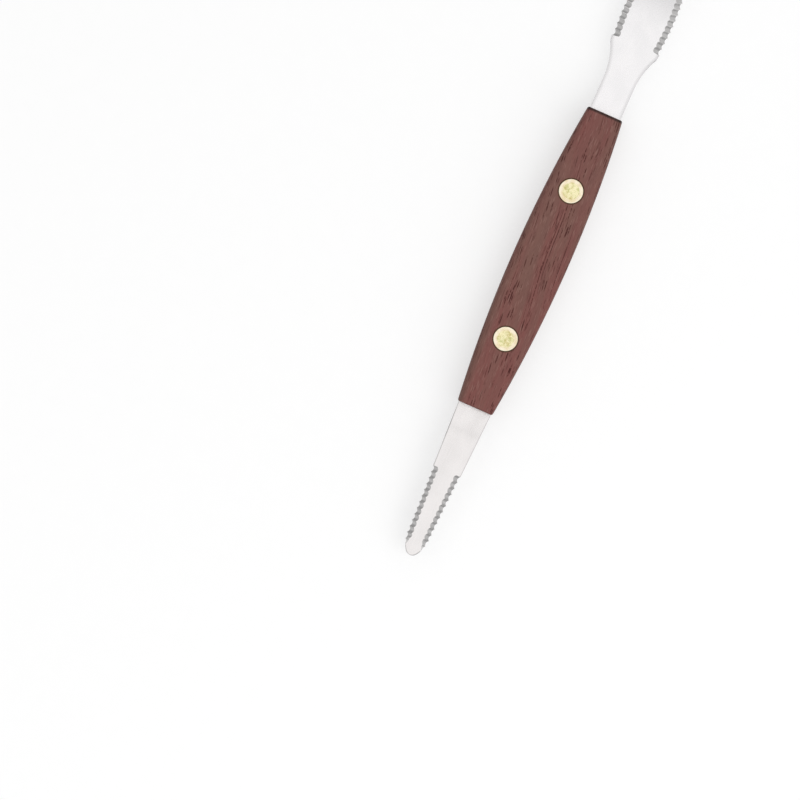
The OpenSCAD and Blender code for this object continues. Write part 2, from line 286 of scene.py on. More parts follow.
def gullets(edge, start, pitch, count, depth_pitch, gauge, run_out=0):
    """Points along a row of ground gullets, each with the way its ground face steps back.

    edge gives the place and outward direction of the plain edge at a distance along it.
    Over the run_out at the end of the row, the wheel lifts off the sheet.
    """
    end = start + count * pitch

    def rise(along):
        return (WHEEL_RADIUS - sqrt(WHEEL_RADIUS ** 2 - along ** 2)) / sin(GRIND_ANGLE)

    samples = 10
    depth, step = rise(depth_pitch / 2) + TOOTH_SET, gauge / tan(GRIND_ANGLE)
    line = []
    for tooth in range(count):
        middle = start + (tooth + 0.5) * pitch
        place, out = (Vector(pair) for pair in edge(middle))
        aside = Vector((-out.y, out.x))
        # Round a tip the gullets crowd each other, and are narrower where they leave the sheet
        turn = Vector(edge(middle - pitch / 2)[1]).angle(Vector(edge(middle + pitch / 2)[1]))
        narrower = 1 - (step + depth / 2) * turn / pitch
        for i in range(samples + (tooth == count - 1)):
            run = middle + (i / samples - 0.5) * pitch
            plain_place = Vector(edge(run)[0])
            along = (plain_place - place) @ aside
            low = place + along * aside + (rise(along) - depth) * out
            along *= narrower
            high = place + along * aside + (rise(along) - depth - step) * out
            lifted = max(0, 1 - (end - run) / run_out) if run_out else 0
            share = 1 - lifted ** 2
            line.append((plain_place + share * (low - plain_place), share * (high - low), 1))
    return line


def plain(points):
    """Points along an edge that is left square."""
    return [(Vector(point), Vector((0, 0)), 0) for point in points]


def eased(points, side):
    """Points along an edge whose upper corner is eased, each with the way that it steps back.

    side is 1 for points that run towards +X, and -1 for the other way.
    """
    points = [Vector(point) for point in points]
    line = []
    for i, point in enumerate(points):
        along = (points[min(i + 1, len(points) - 1)] - points[max(i - 1, 0)]).normalized()
        line.append((point, Vector((along.y, -along.x)) * side, 0))
    return line


def give_finishes(sheet, tests):
    """Gives a sheet a slot for each of its finishes, with the faces that its test wants."""
    work_on(sheet, "EDIT")
    for slot, wanted in enumerate(tests):
        bpy.ops.object.material_slot_add()
        pick(sheet, "FACE", wanted)
        sheet.active_material_index = slot
        bpy.ops.object.material_slot_assign()
    bpy.ops.object.mode_set(mode="OBJECT")


def cut_sheet(name, half, low_z, gauge, lip, toothed):
    """A flat sheet from one half of its outline, traced on its lower face, raised and mirrored.

    A ground edge steps back evenly on the way up, an eased one only where its lip drops.
    toothed says whether the edge is ground at a place along the knife.
    """
    # On the knife's middle line, an edge steps back only along that line
    half = [(point, step if point.y else Vector((step.x, 0)), ground) for point, step, ground in half]
    sheet = trace(name, [(point.x, point.y, low_z) for point, _, _ in half])
    bpy.ops.mesh.select_all(action="SELECT")
    z, ground_off, eased_off = low_z, 0.0, 0.0
    for width, rise in ((0, gauge - sum(drop for _, drop in lip)), *lip):
        bpy.ops.mesh.extrude_region_move(TRANSFORM_OT_translate={"value": (0, 0, rise * MM)})
        z += rise
        for point, step, ground in half:
            back = step * (rise / gauge if ground else width)
            if back.length:
                at = Vector((*(point + step * (ground_off if ground else eased_off)), z)) * MM
                pick(sheet, "VERT", lambda vert: (vert.co - at).length < SAME_POINT * MM)
                bpy.ops.transform.translate(value=(back.x * MM, back.y * MM, 0))
        ground_off += rise / gauge
        eased_off += width
        pick(sheet, "VERT", lambda vert: abs(vert.co.z - z * MM) < SAME_LEVEL * MM)
    for z in (low_z, low_z + gauge):
        pick(sheet, "VERT", lambda vert: abs(vert.co.z - z * MM) < SAME_LEVEL * MM)
        bpy.ops.mesh.edge_face_add()
    modify(sheet, "MIRROR", use_axis=(False, True, False), use_clip=True, merge_threshold=SEAM * MM)
    face_outwards(sheet)
    give_finishes(sheet, (
        lambda face: True,
        lambda face: SIDE_UP < face.normal.z < GROUND_UP and toothed(face.calc_center_median().x / MM),
        lambda face: abs(face.normal.z) < SIDE_UP))
    hole, below, above = BARREL_D / 2 + CLEARANCE, low_z - BEYOND, low_z + gauge + BEYOND
    bore = [(0, below), (hole, below), (hole, above), (0, above)]
    for x in RIVETS.values():
        cut_away(sheet, turn_profile("rivet_bore", bore, x, steps=48))
    return sheet


def slice_across(sheet, places):
    """Cuts lines across a sheet, so that it can bend there."""
    work_on(sheet, "EDIT")
    for x in places:
        bpy.ops.mesh.select_all(action="SELECT")
        bpy.ops.mesh.bisect(plane_co=(x * MM, 0, 0), plane_no=(1, 0, 0))
    bpy.ops.object.mode_set(mode="OBJECT")


def bend(sheet, start, length, angle, z, way):
    """Bends a sheet upwards past a place along the knife. way is 1 towards +X and -1 towards -X."""
    deselect()
    bpy.ops.object.empty_add(location=(start * MM, 0, z * MM),
                             rotation=(pi / 2, 0, 0 if way > 0 else pi))
    former = bpy.context.object
    bpy.context.view_layer.update()
    runs = [(vert.co.x - start * MM) * way for vert in sheet.data.vertices]
    low, span = min(runs), max(runs) - min(runs)
    modify(sheet, "SIMPLE_DEFORM", deform_method="BEND", deform_axis="Z", origin=former, angle=angle,
           limits=(-low / span, (length * MM - low) / span))
    remove(former)


def ease_edges(sheet, start, end):
    """Rounds the square edges of a sheet between two places along the knife."""
    square = 1.0  # Radians between the faces at such an edge, at least

    def wanted(edge):
        a, b = (vert.co for vert in edge.verts)
        within = start * MM < min(a.x, b.x) and max(a.x, b.x) < end * MM
        level = abs(a.z - b.z) < NEAR * MM
        return within and level and len(edge.link_faces) == 2 and edge.calc_face_angle(0) > square

    work_on(sheet, "EDIT")
    pick(sheet, "EDGE", wanted)
    bpy.ops.mesh.bevel(offset=EDGE_EASE * MM, offset_type="OFFSET", segments=4, profile=0.5, affect="EDGES")
    face_outwards(sheet)


# The bent blade's plan, as it is seen from above once bent
BEND_X = HALF + BEND_START
OUTER_RADIUS = BEND_RADIUS + CENTRE_GAUGE / 2
BEND_ANGLE = (BENT_LENGTH - BEND_START) / BEND_RADIUS
FLARE_X, FLARE_Y, HEEL_Y = HALF + FLARE_START, BENT_SHANK_WIDTH / 2, HEEL_WIDTH / 2
HEEL_X = FLARE_X + sqrt(FLARE_RADIUS ** 2 - (FLARE_RADIUS - (HEEL_Y - FLARE_Y)) ** 2)
BELLY_X = HEEL_X + BELLY
TIP_X = BEND_X + BEND_RADIUS * sin(BEND_ANGLE) - BENT_TIP_RADIUS
TIP_SHARE = BENT_TIP_RADIUS / HEEL_Y
HEEL_REACH, TIP_REACH = (HEEL_X - BELLY_X) ** 2, (TIP_X - BELLY_X) ** 2
EDGE_SHIFT = (HEEL_REACH - TIP_REACH + HEEL_Y ** 2 + BENT_TIP_RADIUS ** 2) / (2 * HEEL_Y)
EDGE_RISE = HEEL_Y - EDGE_SHIFT
EDGE_RADIUS = (EDGE_RISE * TIP_SHARE + sqrt((EDGE_RISE * TIP_SHARE) ** 2 + (1 - TIP_SHARE ** 2)
               * (HEEL_REACH + EDGE_RISE ** 2))) / (1 - TIP_SHARE ** 2)
EDGE_Y = EDGE_SHIFT - TIP_SHARE * EDGE_RADIUS
SHOULDER_X = BELLY_X + (TIP_X - BELLY_X) * EDGE_RADIUS / (EDGE_RADIUS - BENT_TIP_RADIUS)
TIP_ANGLE = acos((SHOULDER_X - TIP_X) / BENT_TIP_RADIUS)
EDGE_FROM = pi / 2 + asin((BELLY_X - HEEL_X) / EDGE_RADIUS)
EDGE_RUN = EDGE_RADIUS * (EDGE_FROM - TIP_ANGLE)
BENT_TOOTHED = EDGE_RUN + BENT_TIP_RADIUS * TIP_ANGLE - TOOTH_PITCH
BENT_TEETH = round(BENT_TOOTHED / TOOTH_PITCH)


def unbent(x):
    """Where a place along the bent blade lies before it is bent."""
    return x if x < BEND_X else BEND_X + BEND_RADIUS * asin((x - BEND_X) / OUTER_RADIUS)


def bent_edge(run):
    """Place on the flat sheet, and outward direction, of the bent blade's edge past its heel."""
    tip = run > EDGE_RUN
    facing = TIP_ANGLE - (run - EDGE_RUN) / BENT_TIP_RADIUS if tip else EDGE_FROM - run / EDGE_RADIUS
    radius = BENT_TIP_RADIUS if tip else EDGE_RADIUS
    x = (TIP_X if tip else BELLY_X) + radius * cos(facing)
    lean = asin(max(0, x - BEND_X) / OUTER_RADIUS)
    out = (cos(facing), sin(facing) / cos(lean))
    size = hypot(*out)
    return (unbent(x), (0 if tip else EDGE_Y) + radius * sin(facing)), (out[0] / size, out[1] / size)


def shape_bent_blade():
    """One sheet with a full tang, flared to its heel, toothed round its leaf and bent upwards."""
    tang = tang_side(BENT_SHANK_WIDTH)
    shank = [(HALF + x, FLARE_Y) for x in (LIP_START, FLARE_START / 3, 2 * FLARE_START / 3, FLARE_START)]
    flare = arc((FLARE_X, FLARE_Y + FLARE_RADIUS), FLARE_RADIUS, -pi / 2,
                -acos((HEEL_X - FLARE_X) / FLARE_RADIUS), steps=20)
    shank += [(unbent(x), y) for x, y in flare]
    steps = 4
    land = [bent_edge((TOOTH_PITCH - LIP_STOP) * i / steps)[0] for i in range(1, steps + 1)]
    pitch = BENT_TOOTHED / BENT_TEETH
    half = (plain(tang) + eased(shank + land, side=1)
            + gullets(bent_edge, TOOTH_PITCH, pitch, BENT_TEETH, pitch / cos(BEND_ANGLE), CENTRE_GAUGE))
    half[-1][0].y = 0.0
    blade = cut_sheet("bent_serrated_blade", half, CENTRE_Z, CENTRE_GAUGE, BENT_LIP,
                      lambda x: x > land[-1][0])
    ease_edges(blade, -HALF - BEYOND, unbent(HEEL_X) - HEEL_MARGIN)
    lines = 60
    slice_across(blade, [BEND_X + (BENT_LENGTH - BEND_START) * i / lines for i in range(lines)])
    bend(blade, BEND_X, BENT_LENGTH - BEND_START, BEND_ANGLE, MIDDLE_Z, way=1)
    return blade


# The twin blades' plan, measured from the end of the handle
TWIN_OFFSET = (TWIN_GAP - CENTRE_GAUGE) / 2
OFFSET_ANGLE = acos(1 - TWIN_OFFSET / (2 * OFFSET_RADIUS))
OFFSET_ARC = OFFSET_RADIUS * OFFSET_ANGLE
OFFSET_HALF = OFFSET_RADIUS * sin(OFFSET_ANGLE)
TWIN_ALONG = Vector((cos(TWIN_TAPER), -sin(TWIN_TAPER)))
TWIN_OUT = Vector((sin(TWIN_TAPER), cos(TWIN_TAPER)))
TWIN_HEEL = Vector((0, TWIN_SHANK_WIDTH / 2))
TWIN_TIP = Vector((TWIN_LENGTH - TWIN_TIP_RADIUS, 0))
POINT_DEPTH = TWIN_HEEL @ TWIN_OUT - POINT_RADIUS
POINT_REACH = TWIN_TIP @ TWIN_ALONG - sqrt((POINT_RADIUS - TWIN_TIP_RADIUS) ** 2
                                           - (POINT_DEPTH - TWIN_TIP @ TWIN_OUT) ** 2)
POINT_CENTRE = POINT_DEPTH * TWIN_OUT + POINT_REACH * TWIN_ALONG
TWIN_EDGE_RUN = POINT_REACH - TWIN_HEEL @ TWIN_ALONG
POINT_FROM, POINT_TO = pi / 2 - TWIN_TAPER, atan2(-POINT_CENTRE.y, TWIN_TIP.x - POINT_CENTRE.x)
TWIN_TOOTHED = TWIN_EDGE_RUN + POINT_RADIUS * (POINT_FROM - POINT_TO) - TIP_PLAIN - TWIN_PLAIN
TWIN_TEETH = round(TWIN_TOOTHED / TOOTH_PITCH)


def unoffset(run):
    """Where a place along a twin blade lies on its sheet before the offset is bent into it."""
    past = run - OFFSET_START
    if past <= 0:
        return run
    if past <= OFFSET_HALF:
        return OFFSET_START + OFFSET_RADIUS * asin(past / OFFSET_RADIUS)
    if past <= 2 * OFFSET_HALF:
        left = asin((2 * OFFSET_HALF - past) / OFFSET_RADIUS)
        return OFFSET_START + 2 * OFFSET_ARC - OFFSET_RADIUS * left
    return run + 2 * (OFFSET_ARC - OFFSET_HALF)


def twin_edge(run):
    """Place on the flat sheet, and outward direction, of a twin blade's edge past the handle."""
    facing = POINT_FROM - max(0, run - TWIN_EDGE_RUN) / POINT_RADIUS
    out = Vector((cos(facing), sin(facing)))
    place = POINT_CENTRE + POINT_RADIUS * out if run > TWIN_EDGE_RUN else TWIN_HEEL + run * TWIN_ALONG
    return (-HALF - unoffset(place.x), place.y), (-out.x, out.y)


def shape_front_twin_blade():
    """One sheet with a full tang, toothed along both sides, its blade offset from the tang."""
    tang = [(-x, y) for x, y in tang_side(TWIN_SHANK_WIDTH)]
    steps, tip_steps = 24, 6
    plain_run = TWIN_PLAIN - LIP_STOP - LIP_START
    shank = [twin_edge(LIP_START + plain_run * i / steps)[0] for i in range(steps + 1)]
    after = TWIN_PLAIN + TWIN_TOOTHED + LIP_STOP
    tip = [twin_edge(after + (TIP_PLAIN - LIP_STOP) * i / tip_steps)[0] for i in range(tip_steps + 1)]
    end = arc(TWIN_TIP, TWIN_TIP_RADIUS, POINT_TO, 0, steps=16)
    tip += [(-HALF - unoffset(x), y) for x, y in end]
    pitch = TWIN_TOOTHED / TWIN_TEETH
    half = (plain(tang) + eased(shank, side=-1)
            + gullets(twin_edge, TWIN_PLAIN, pitch, TWIN_TEETH, pitch, TWIN_GAUGE, run_out=2 * pitch)
            + plain(tip[:1]) + eased(tip, side=-1)[1:])
    half[-1][0].y = 0.0
    blade = cut_sheet("front_twin_serrated_blade", half, FRONT_TWIN_Z, TWIN_GAUGE, TWIN_LIP,
                      lambda x: x < shank[-1][0])
    ease_edges(blade, twin_edge(TWIN_PLAIN - TEETH_MARGIN)[0][0], HALF + BEYOND)
    lines = 28
    first = -HALF - OFFSET_START
    second = first - OFFSET_ARC
    slice_across(blade, [first - 2 * OFFSET_ARC * i / lines for i in range(lines + 1)])
    middle = FRONT_TWIN_Z + TWIN_GAUGE / 2
    bend(blade, second, OFFSET_ARC, -OFFSET_ANGLE, middle, way=-1)
    bend(blade, first, OFFSET_ARC, OFFSET_ANGLE, middle, way=-1)
    return blade


# Rivets

def head_profile(seat, way):
    """A head from the middle of its dish out over the turned rim to its seat. way is 1 for up."""
    outer, dish_steps, rim_steps = HEAD_D / 2, 10, 6
    ball = (DISH_RADIUS ** 2 + DISH ** 2) / (2 * DISH)
    radii = [DISH_RADIUS * i / dish_steps for i in range(dish_steps + 1)]
    dish = [(radius, HEAD_H - DISH + ball - sqrt(ball ** 2 - radius ** 2)) for radius in radii]
    turns = [pi / 2 * i / rim_steps for i in range(rim_steps + 1)]
    rim = [(outer - RIM + RIM * sin(turn), HEAD_H - RIM + RIM * cos(turn)) for turn in turns]
    return [(radius, seat + way * height) for radius, height in dish + rim + [(outer, 0)]]


def turn_stud(name, x):
    """The solid half of a rivet, with the head that shows in the front scale."""
    seat = THICKNESS - HEAD_H
    end, pin = HEAD_H + END_GAP, PIN_D / 2
    return turn_profile(name, head_profile(seat, way=1) + [
        (pin, seat), (pin, end + PIN_CHAMFER), (pin - PIN_CHAMFER, end), (0, end)], x)


def turn_sleeve(name, x):
    """The tubular half of a rivet, with the head in the back scale."""
    end, pin, barrel = THICKNESS - HEAD_H - END_GAP, PIN_D / 2, BARREL_D / 2
    return turn_profile(name, head_profile(HEAD_H, way=-1) + [
        (barrel, HEAD_H), (barrel, end - SLEEVE_CHAMFER), (barrel - SLEEVE_CHAMFER, end),
        (pin, end), (pin, HEAD_H), (0, HEAD_H)], x)


# Finishes

def put(tree, kind, inputs=None, **settings):
    """Adds a node, with values or links for its inputs."""
    node = tree.nodes.new(kind)
    for name, value in settings.items():
        setattr(node, name, value)
    for name, value in (inputs or {}).items():
        if isinstance(value, bpy.types.NodeSocket):
            tree.links.new(value, node.inputs[name])
        else:
            node.inputs[name].default_value = value
    return node


def mix(tree, share, a, b):
    """Mixes a share of colour b into colour a."""
    return put(tree, "ShaderNodeMix", {0: share, 6: a, 7: b}, data_type="RGBA").outputs[2]


def choose(tree, mask, off, on):
    """A number that a mask changes from one value to another."""
    return put(tree, "ShaderNodeMix", {0: mask, 2: off, 3: on}, data_type="FLOAT").outputs[0]


def sums(tree, operation, *values):
    """Does one sum on numbers."""
    return put(tree, "ShaderNodeMath", dict(enumerate(values)), operation=operation).outputs[0]


def tint(tree, colour, mask, share, shade):
    """Lays a shade over a colour where a mask is, as strongly as a share."""
    return mix(tree, sums(tree, "MULTIPLY", mask, share), colour, shade)


def ramp(tree, value, low, high, to_low=0.0, to_high=1.0):
    """Stretches a value's range smoothly, and holds it outside that range."""
    ranges = {"Value": value, "From Min": low, "From Max": high, "To Min": to_low, "To Max": to_high}
    return put(tree, "ShaderNodeMapRange", ranges, interpolation_type="SMOOTHSTEP").outputs[0]


def noise(tree, place, per_mm, detail=2.0, roughness=0.5, distortion=0.0):
    """Noise over places in millimetres, with its own fineness along X, Y and Z."""
    spread = put(tree, "ShaderNodeVectorMath", {0: place, 1: per_mm}, operation="MULTIPLY").outputs[0]
    kind = {"Vector": spread, "Scale": 1.0, "Detail": detail, "Roughness": roughness,
            "Distortion": distortion}
    return put(tree, "ShaderNodeTexNoise", kind).outputs["Fac"]


def vessels(tree, place, per_mm, share, radius):
    """Long thin pores, one to a cell. A share of the cells has one, of a radius up to that given."""
    # The cells are turned out of line with the grain, so that no rows show
    turned = {"Vector": place, "Rotation": (0.6, 0.9, 0.4), "Scale": per_mm}
    spread = put(tree, "ShaderNodeMapping", turned).outputs[0]
    cell = put(tree, "ShaderNodeTexVoronoi", {"Vector": spread, "Scale": 1.0})
    chance = put(tree, "ShaderNodeSeparateColor", {0: cell.outputs["Color"]}).outputs[0]
    reach = ramp(tree, chance, 1.0 - share, 1.0 - 0.4 * share, -0.05, radius)
    outside = sums(tree, "SUBTRACT", cell.outputs["Distance"], reach)
    return ramp(tree, outside, -0.4 * radius, 0.0, 1.0, 0.0)


def places_mm(tree, turn=0.0):
    """Places on a piece in millimetres, turned about the upright axis by some degrees."""
    here = put(tree, "ShaderNodeTexCoord").outputs["Object"]
    turned = {"Vector": here, "Rotation": (0, 0, radians(turn)), "Scale": (1 / MM, 1 / MM, 1 / MM)}
    return put(tree, "ShaderNodeMapping", turned).outputs[0]


def rivet_distance(tree, place):
    """How far a place is from the upright axis of the nearest rivet, in millimetres."""
    along, across = put(tree, "ShaderNodeSeparateXYZ", {0: place}).outputs[:2]
    nearest = None
    for centre in RIVETS.values():
        off = sums(tree, "SUBTRACT", along, centre)
        off_squared, across_squared = (sums(tree, "MULTIPLY", part, part) for part in (off, across))
        distance = sums(tree, "SQRT", sums(tree, "ADD", off_squared, across_squared))
        nearest = distance if nearest is None else sums(tree, "MINIMUM", nearest, distance)
    return nearest


def start_material(name):
    """A new material, with its node tree and its surface shader."""
    material = bpy.data.materials.new(name)
    material.use_nodes = True
    tree = material.node_tree
    return material, tree, tree.nodes["Principled BSDF"]


def dress(tree, surface, colour, rough, height, strength, depth):
    """Gives a surface its colour, roughness and relief. depth is that of the relief, in millimetres."""
    relief = put(tree, "ShaderNodeBump", {"Height": height, "Strength": strength, "Distance": depth * MM})
    for socket, value in (("Base Color", colour), ("Roughness", rough), ("Normal", relief.outputs[0])):
        tree.links.new(value, surface.inputs[socket])


def start_group(name, inputs, outputs):
    """A node group with named inputs and outputs."""
    tree = bpy.data.node_groups.new(name, "ShaderNodeTree")
    for socket, kind in inputs:
        tree.interface.new_socket(socket, in_out="INPUT", socket_type="NodeSocket" + kind)
    for socket, kind in outputs:
        tree.interface.new_socket(socket, in_out="OUTPUT", socket_type="NodeSocket" + kind)
    return tree, tree.nodes.new("NodeGroupInput"), tree.nodes.new("NodeGroupOutput")


def satin_marks_group():
    """Fine lines left by a polishing belt, with cloudy wear over them."""
    tree, given, out = start_group("satin_marks", [("Place", "Vector"), ("Lines", "Vector")],
                                   [("Lines", "Float"), ("Clouds", "Float")])
    lines = noise(tree, given.outputs["Place"], given.outputs["Lines"], 3, 0.65)
    clouds = noise(tree, given.outputs["Place"], (0.11, 0.16, 0.16), 3, 0.55, 0.4)
    tree.links.new(ramp(tree, lines, 0.25, 0.75), out.inputs["Lines"])
    tree.links.new(ramp(tree, clouds, 0.3, 0.7), out.inputs["Clouds"])
    return tree


def use_group(tree, group, inputs):
    """Places a node group in a material, with its own values."""
    return put(tree, "ShaderNodeGroup", inputs, node_tree=group)


def wood_material():
    """Close-grained red-brown hardwood, dull with use, with dark pores drawn out along the grain."""
    material, tree, surface = start_material("oiled_hardwood")
    brown, red = (0.203, 0.097, 0.077, 1), (0.222, 0.077, 0.067, 1)
    dark_streak, dark_hair = (0.092, 0.034, 0.030, 1), (0.120, 0.044, 0.038, 1)
    pale_fibre, pale_fleck = (0.250, 0.125, 0.100, 1), (0.300, 0.165, 0.135, 1)
    dark_pore = (0.062, 0.012, 0.010, 1)
    handling_wear_and_edge_shade, oil, end_shade_and_stain = (0.085, 0.036, 0.034, 1), (0.072, 0.029, 0.007, 1), (0.018, 0.008, 0.006, 1)

    # The grain runs a little across the handle, and sways
    grain = places_mm(tree, turn=-5.4)
    sway = sums(tree, "SUBTRACT", noise(tree, grain, (0.02, 0.05, 0.05), 2, 0.5), 0.5)
    sway_mm = sums(tree, "MULTIPLY", sway, 5.0)
    sway = put(tree, "ShaderNodeCombineXYZ", {"Y": sway_mm}).outputs[0]
    grain = put(tree, "ShaderNodeVectorMath", {0: grain, 1: sway}, operation="ADD").outputs[0]

    bands = ramp(tree, noise(tree, grain, (0.012, 0.17, 0.17), 2, 0.5), 0.38, 0.62)
    streaks = ramp(tree, noise(tree, grain, (0.03, 0.8, 0.8), 3, 0.6), 0.28, 0.72)
    fibre = ramp(tree, noise(tree, grain, (0.15, 3.4, 3.4), 3, 0.6), 0.28, 0.72)
    hairs = ramp(tree, noise(tree, grain, (0.5, 10.0, 10.0), 2, 0.6), 0.25, 0.75)
    flecks = vessels(tree, grain, (0.30, 3.0, 3.0), 0.6, 0.46)
    colour = mix(tree, bands, brown, red)
    colour = mix(tree, ramp(tree, streaks, 0.0, 1.0, 0.17, 0.0), colour, dark_streak)
    colour = mix(tree, ramp(tree, fibre, 0.0, 1.0, 0.0, 0.22), colour, pale_fibre)
    colour = mix(tree, ramp(tree, hairs, 0.0, 1.0, 0.09, 0.0), colour, dark_hair)
    colour = tint(tree, colour, flecks, 0.45, pale_fleck)

    # Open pores in clusters, finer ones all over, and a few long dark lines
    clusters = ramp(tree, noise(tree, grain, (0.028, 0.24, 0.24), 2, 0.5), 0.42, 0.58)
    breaks = ramp(tree, noise(tree, grain, (0.9, 2.0, 2.0), 1, 0.5), 0.30, 0.50)
    pores = sums(tree, "MULTIPLY", vessels(tree, grain, (0.2, 2.2, 2.2), 0.9, 0.50), clusters)
    threads = vessels(tree, grain, (0.016, 2.4, 2.4), 0.22, 0.46)
    fine_pores = vessels(tree, grain, (0.6, 8.0, 8.0), 0.8, 0.42)
    coarse = sums(tree, "MULTIPLY", sums(tree, "MAXIMUM", pores, threads), breaks)
    dark = sums(tree, "MAXIMUM", coarse, sums(tree, "MULTIPLY", fine_pores, 0.30))
    colour = tint(tree, colour, dark, 0.92, dark_pore)

    # Painted shade, mixed with handling wear, darkens the rounded edges; oil darkens the wood round the
    # rivets; painted shade darkens both ends, where the wood meets the steel
    place = places_mm(tree)
    x = put(tree, "ShaderNodeSeparateXYZ", {0: place}).outputs["X"]
    normal = put(tree, "ShaderNodeNewGeometry").outputs["Normal"]
    facing = put(tree, "ShaderNodeSeparateXYZ", {0: normal}).outputs
    rounded = ramp(tree, sums(tree, "ABSOLUTE", facing["Z"]), 0.55, 0.98, 1.0, 0.0)
    # Painted shade over the rounded edges, mixed with handling wear
    colour = tint(tree, colour, rounded, 0.06, handling_wear_and_edge_shade)
    ring_from, ring_to = HEAD_D / 2 + 0.12, HEAD_D / 2 + 0.5
    ring = ramp(tree, rivet_distance(tree, place), ring_from, ring_to, 1.0, 0.0)
    colour = tint(tree, colour, ring, 0.9, oil)
    # Painted shade at both ends: most over the bent end's rounding, less on its end face, and faint at the
    # twin end
    bent_end = ramp(tree, x, HALF - 1.15, HALF - 0.55)
    bent_end = sums(tree, "MULTIPLY", bent_end, ramp(tree, facing["X"], 0.90, 1.0, 1.0, 0.4))
    twin_end = ramp(tree, x, -HALF, 0.3 - HALF, 0.2, 0.0)
    ends = sums(tree, "MAXIMUM", bent_end, twin_end)
    uneven = ramp(tree, noise(tree, place, (0.6, 0.6, 0.6), 3, 0.6), 0.3, 0.7, 0.70, 0.95)
    colour = tint(tree, colour, ends, uneven, end_shade_and_stain)

    fine = sums(tree, "ADD", sums(tree, "MULTIPLY", fibre, 0.25), sums(tree, "MULTIPLY", hairs, 0.15))
    height = sums(tree, "SUBTRACT", fine, dark)
    in_pores = sums(tree, "MULTIPLY", dark, 0.2)
    rough = sums(tree, "ADD", ramp(tree, streaks, 0.0, 1.0, 0.50, 0.60), in_pores)
    dress(tree, surface, colour, rough, height, strength=0.35, depth=0.03)
    surface.inputs["Specular IOR Level"].default_value = 0.3
    return material


def steel_material(marks, name, light, dull):
    """Satin stainless sheet with faint belt lines along it and a few handling scratches."""
    material, tree, surface = start_material(name)
    satin = use_group(tree, marks, {"Place": places_mm(tree), "Lines": (0.06, 7.0, 7.0)})
    lines, clouds = satin.outputs["Lines"], satin.outputs["Clouds"]
    scratched = noise(tree, places_mm(tree, turn=31), (0.09, 5.0, 5.0), 1, 0.5)
    scratches = ramp(tree, scratched, 0.70, 0.76)
    colour = mix(tree, clouds, light, dull)
    colour = tint(tree, colour, scratches, 0.15, (0.70, 0.70, 0.71, 1))
    cloudy = sums(tree, "MULTIPLY", clouds, 0.05)
    rough = sums(tree, "ADD", ramp(tree, lines, 0.0, 1.0, 0.20, 0.27), cloudy)
    height = sums(tree, "SUBTRACT", lines, sums(tree, "MULTIPLY", scratches, 0.8))
    dress(tree, surface, colour, rough, height, strength=0.12, depth=0.01)
    surface.inputs["Metallic"].default_value = 1.0
    return material


def scored_material(marks, name, dark, light, rough, smoother):
    """Steel with lines across its edge, from a grinding wheel or a sanding belt."""
    material, tree, surface = start_material(name)
    satin = use_group(tree, marks, {"Place": places_mm(tree), "Lines": (9.0, 0.4, 0.4)})
    lines = satin.outputs["Lines"]
    colour = mix(tree, lines, dark, light)
    rough = ramp(tree, lines, 0.0, 1.0, rough, smoother)
    dress(tree, surface, colour, rough, lines, strength=0.25, depth=0.01)
    surface.inputs["Metallic"].default_value = 1.0
    return material


def brass_material(marks):
    """Pale brass, with painted highlights and dark reflections on the turned rims and painted reflections
    mottling the dishes.
    """
    material, tree, surface = start_material("pale_brass")
    bright, golden_reflection, green_reflection = (0.97, 0.89, 0.56, 1), (0.60, 0.51, 0.20, 1), (0.58, 0.59, 0.24, 1)
    rim_highlight, rim_dark_reflection, groove = (0.99, 0.89, 0.70, 1), (0.88, 0.74, 0.49, 1), (0.62, 0.52, 0.28, 1)
    place = places_mm(tree)
    satin = use_group(tree, marks, {"Place": place, "Lines": (1.8, 1.8, 1.8)})
    away = rivet_distance(tree, place)
    dish_to, rim_from = 2.4, 3.0
    inside = ramp(tree, away, dish_to, rim_from, 1.0, 0.0)
    # The dark golden and green mottle in the dishes is painted reflection
    reflection_tint = ramp(tree, noise(tree, place, (0.35, 0.35, 0.35), 1, 0.5), 0.35, 0.65)
    mottle = ramp(tree, noise(tree, place, (0.9, 0.9, 0.9), 4, 0.65, 0.5), 0.36, 0.70)
    dish = mix(tree, mottle, bright, mix(tree, reflection_tint, golden_reflection, green_reflection))
    # Pale and darker arcs on the rims are painted highlights and dark reflections
    rim_reflections = ramp(tree, noise(tree, place, (0.45, 0.45, 0.45), 2, 0.5), 0.36, 0.64)
    colour = mix(tree, inside, mix(tree, rim_reflections, rim_highlight, rim_dark_reflection), dish)

    # Rings from the lathe, no two alike, under fine polishing scratches
    outwards = put(tree, "ShaderNodeCombineXYZ", {"X": away}).outputs[0]
    turning = noise(tree, outwards, (9.0, 0.0, 0.0), 2, 0.6)
    scratches = noise(tree, places_mm(tree, turn=24), (0.5, 14.0, 14.0), 2, 0.6)
    colour = mix(tree, ramp(tree, turning, 0.50, 0.72, 0.0, 0.40), colour, groove)
    ridges = sums(tree, "MULTIPLY", turning, 1.2)
    height = sums(tree, "ADD", ridges, sums(tree, "MULTIPLY", scratches, 0.5))
    wear = sums(tree, "MULTIPLY", satin.outputs["Clouds"], 0.06)
    rough = sums(tree, "ADD", ramp(tree, mottle, 0.0, 1.0, 0.12, 0.24), wear)
    dress(tree, surface, colour, rough, height, strength=0.5, depth=0.03)
    surface.inputs["Metallic"].default_value = 1.0
    return material


# Floor, light and camera

def rays(tree):
    """Masks for what the camera sees straight, and for what it sees straight or in a reflection."""
    path = put(tree, "ShaderNodeLightPath").outputs
    straight = path["Is Camera Ray"]
    reflected = sums(tree, "MAXIMUM", path["Is Glossy Ray"], path["Is Transmission Ray"])
    return straight, sums(tree, "MAXIMUM", straight, reflected)


